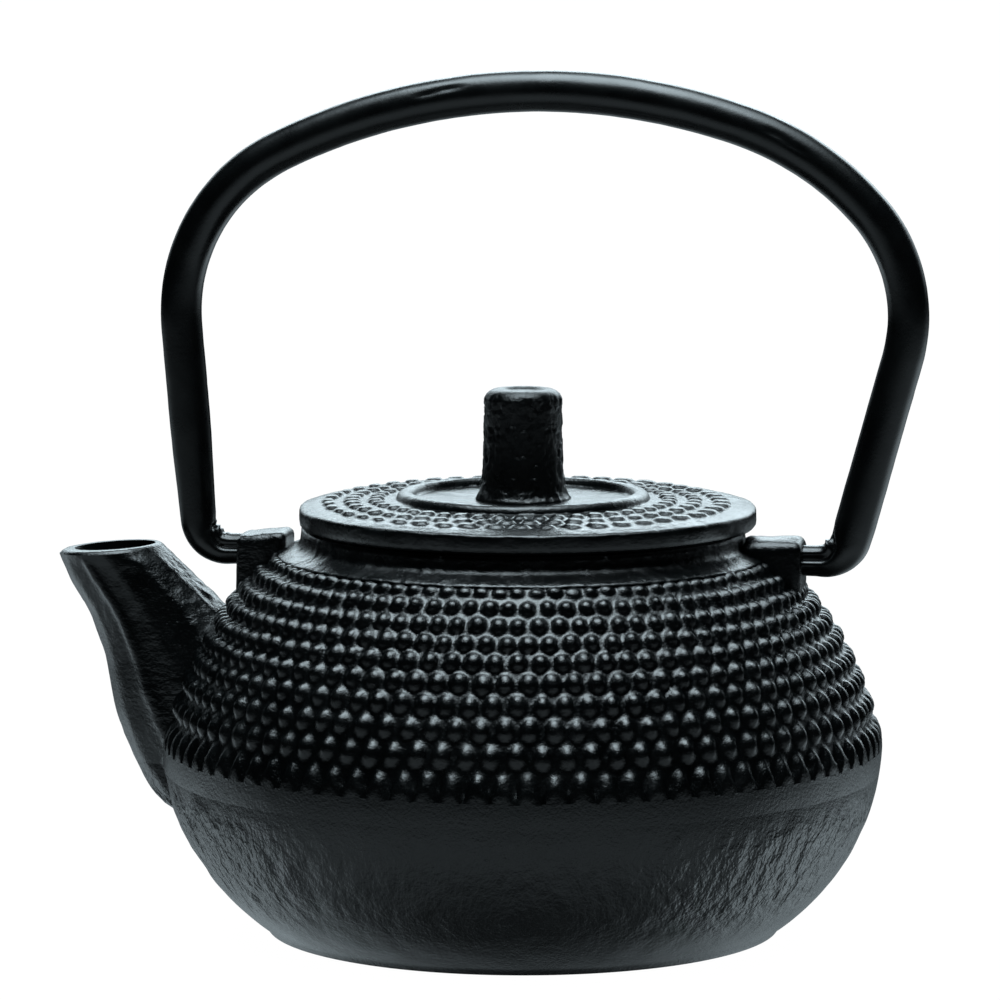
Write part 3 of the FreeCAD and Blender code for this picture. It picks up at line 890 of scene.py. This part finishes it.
def make_floor():
    mesh = bpy.data.meshes.new("floor")
    half = 6.0
    mesh.from_pydata([(-half, -half, 0), (half, -half, 0), (half, half, 0), (-half, half, 0)], [], [(0, 1, 2, 3)])
    floor = bpy.data.objects.new("floor", mesh)
    bpy.context.scene.collection.objects.link(floor)
    material, _, shader = new_material("floor_paper", (0.02, 0.02, 0.02), 1.0, 0.0)
    shader.inputs["Emission Color"].default_value = (1, 1, 1, 1)
    shader.inputs["Emission Strength"].default_value = 1.0
    mesh.materials.append(material)
    floor.visible_glossy = False
    floor.visible_diffuse = False


def multiply(tree, a, b):
    node = add(tree, "ShaderNodeMath", operation="MULTIPLY")
    tree.links.new(a, node.inputs[0])
    tree.links.new(b, node.inputs[1])
    return node.outputs[0]


def add_up(tree, values):
    total = values[0]
    for value in values[1:]:
        node = add(tree, "ShaderNodeMath", operation="ADD")
        tree.links.new(total, node.inputs[0])
        tree.links.new(value, node.inputs[1])
        total = node.outputs[0]
    return total


def make_world():
    """White to the camera. Reflections see a dark room with lit strips, which draw the highlights.

    x, y and z are the direction looked in: y is 1 straight behind the pot, and z is 1 straight up.
    """
    world = bpy.data.worlds.new("studio")
    bpy.context.scene.world = world
    world.use_nodes = True
    tree = world.node_tree
    tree.nodes.clear()
    out = tree.nodes.new("ShaderNodeOutputWorld")
    seen = add(tree, "ShaderNodeBackground", Color=(1, 1, 1, 1), Strength=1.0)
    lit = tree.nodes.new("ShaderNodeBackground")
    lit.inputs["Color"].default_value = (*COOL, 1)
    where = tree.nodes.new("ShaderNodeTexCoord")
    split = tree.nodes.new("ShaderNodeSeparateXYZ")
    tree.links.new(where.outputs["Generated"], split.inputs["Vector"])
    x, y, z = split.outputs["X"], split.outputs["Y"], split.outputs["Z"]
    # the backdrop: from the floor line up to the edge where it ends
    behind = map_range(tree, y, 0.55, 0.97, 0.01, 1.25)
    under_edge = map_range(tree, z, 0.30, 0.50, 1.0, 0.02)
    over_floor = map_range(tree, z, -0.01, 0.10, 0.0, 1.0)
    back = multiply(tree, multiply(tree, behind, under_edge), over_floor)
    # the table: brightest some way out, dark close by the pot
    table_far = map_range(tree, z, -0.42, -0.08, 0.52, 0.0)
    table_near = map_range(tree, z, -1.0, -0.68, 0.12, 1.0)
    table = multiply(tree, table_far, table_near)
    # low strips far out to the left and right
    left = map_range(tree, x, -0.92, -0.68, 4.0, 0.0)
    right = map_range(tree, x, 0.66, 0.92, 0.0, 2.2)
    low = multiply(tree, map_range(tree, z, -0.48, -0.20, 0.52, 0.0), table_near)
    sides = multiply(tree, multiply(tree, add_up(tree, (left, right)), low),
                     map_range(tree, y, 0.05, 0.35, 0.0, 1.0))
    # the table's outer parts, brighter than its middle
    flanks = add_up(tree, (map_range(tree, x, -0.60, -0.15, 0.8, 0.0),
                           map_range(tree, x, 0.15, 0.60, 0.0, 2.4)))
    flanks = multiply(tree, multiply(tree, flanks, table), map_range(tree, y, 0.25, 0.60, 0.0, 1.0))
    # a narrow bright band in the backdrop, and the ceiling
    high = multiply(tree, map_range(tree, z, 0.20, 0.32, 0.0, 5.2), map_range(tree, z, 0.50, 0.62, 1.0, 0.0))
    high = multiply(tree, high, map_range(tree, y, 0.74, 0.88, 0.0, 1.0))
    sky = map_range(tree, z, 0.82, 0.97, 0.0, 5.4)
    strength = add_up(tree, (back, table, sides, flanks, high, sky))
    tree.links.new(strength, lit.inputs["Strength"])
    path = tree.nodes.new("ShaderNodeLightPath")
    mix = tree.nodes.new("ShaderNodeMixShader")
    tree.links.new(path.outputs["Is Camera Ray"], mix.inputs["Fac"])
    tree.links.new(lit.outputs[0], mix.inputs[1])
    tree.links.new(seen.outputs[0], mix.inputs[2])
    tree.links.new(mix.outputs[0], out.inputs["Surface"])


def area_light(name, place, aim, size, watts):
    light = bpy.data.lights.new(name, "AREA")
    light.shape = "RECTANGLE"
    light.size, light.size_y = size
    light.energy = watts
    light.color = COOL
    obj = bpy.data.objects.new(name, light)
    obj.location = place
    obj.rotation_euler = (Vector(aim) - Vector(place)).to_track_quat("-Z", "Y").to_euler()
    bpy.context.scene.collection.objects.link(obj)


def make_camera():
    camera = bpy.data.cameras.new("camera")
    camera.sensor_width = SENSOR
    camera.lens = SENSOR * FOCAL
    camera.shift_x = AXIS_SHIFT
    camera.clip_end = 50
    obj = bpy.data.objects.new("camera", camera)
    turn = math.radians(TURN_DEG)
    obj.location = (CAMERA_DISTANCE * math.sin(turn) * MM, -CAMERA_DISTANCE * math.cos(turn) * MM, CAMERA_HEIGHT * MM)
    obj.rotation_euler = (math.pi / 2 - CAMERA_PITCH, 0, turn)
    bpy.context.scene.collection.objects.link(obj)
    bpy.context.scene.camera = obj


make_camera()
make_world()
make_floor()
area_light("top_box", (-0.05, -0.02, 0.80), (0, 0, 0.05), (0.50, 0.42), 3.6)
bpy.context.scene.view_settings.view_transform = "Standard"

paint_all([make_pot(), make_lid(), make_knob(), make_bail()])
paint_steel()
